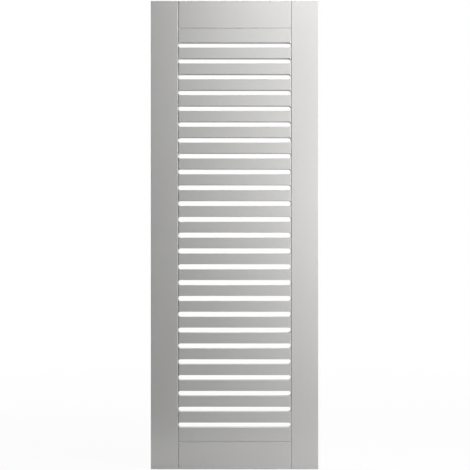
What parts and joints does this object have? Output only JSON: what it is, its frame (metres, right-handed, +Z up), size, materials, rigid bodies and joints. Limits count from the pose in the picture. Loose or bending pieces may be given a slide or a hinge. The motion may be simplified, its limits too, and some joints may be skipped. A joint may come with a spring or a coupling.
{
  "type": "openwork cupboard door",
  "caption": "Tall slender cupboard door leaf of one routed board, with a ladder of level through slots, a V-grooved frame line and concealed-hinge bores on its back.",
  "frame": {"origin": "under the middle of the bottom edge, halfway through the board's thickness", "axes": "+Z up along the leaf, front face towards -Y, +X to the right seen from the front"},
  "size_m": [0.397, 0.019, 1.11],
  "materials": {
    "lacquered_board": "light grey satin lacquer on fibreboard"
  },
  "bodies": {
    "root": {"door_leaf": "lacquered_board"}
  },
  "joints": []
}
